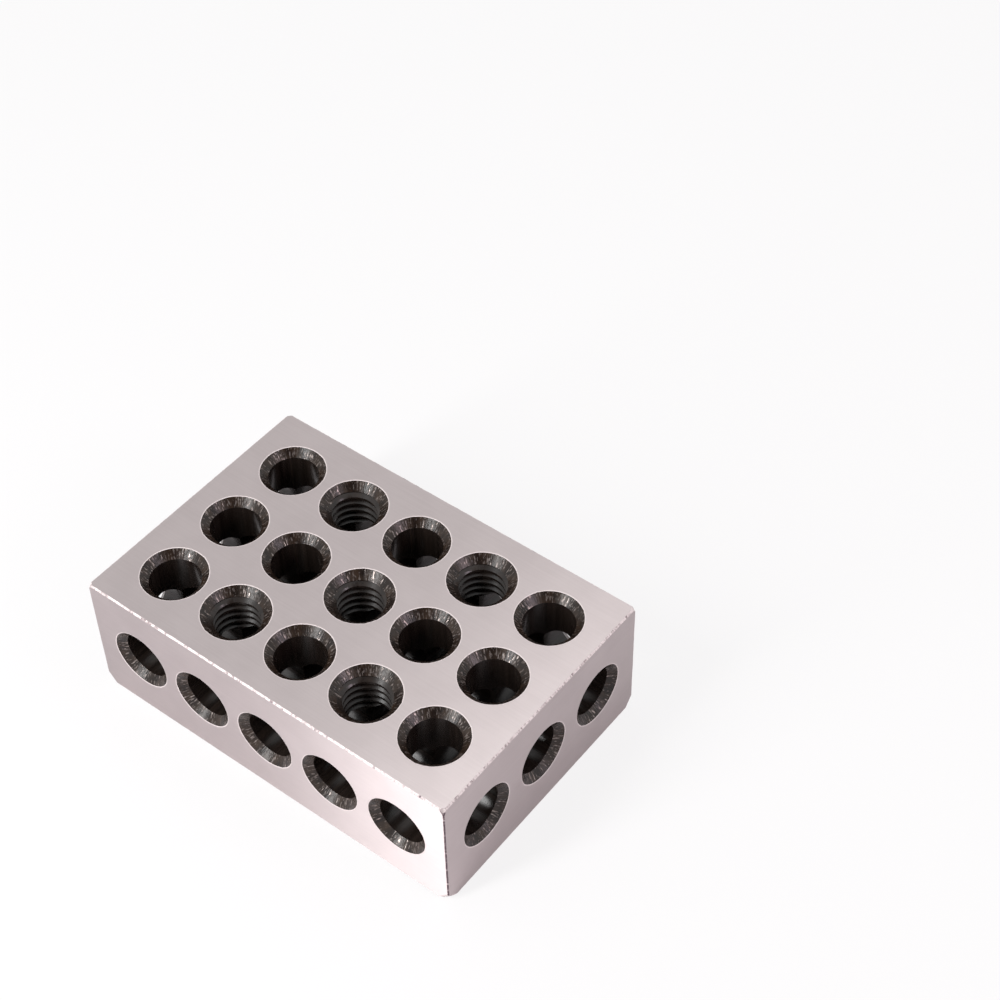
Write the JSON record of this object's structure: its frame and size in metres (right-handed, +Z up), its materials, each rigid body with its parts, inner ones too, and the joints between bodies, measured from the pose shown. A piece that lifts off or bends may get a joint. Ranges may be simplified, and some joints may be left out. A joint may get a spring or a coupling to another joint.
{
  "type": "machinist setup block",
  "caption": "Rectangular ground steel setup block drilled right through on all three axes with countersunk plain and tapped holes.",
  "frame": {"origin": "centre of the bottom 2 x 3 in face", "axes": "+X along the 3 in length, +Y along the 2 in width, +Z up through the 1 in thickness"},
  "size_m": [0.0762, 0.0508, 0.0254],
  "materials": {
    "ground_steel": "ground, with black scale in the holes"
  },
  "bodies": {
    "root": {"setup_block": "ground_steel"}
  },
  "joints": []
}
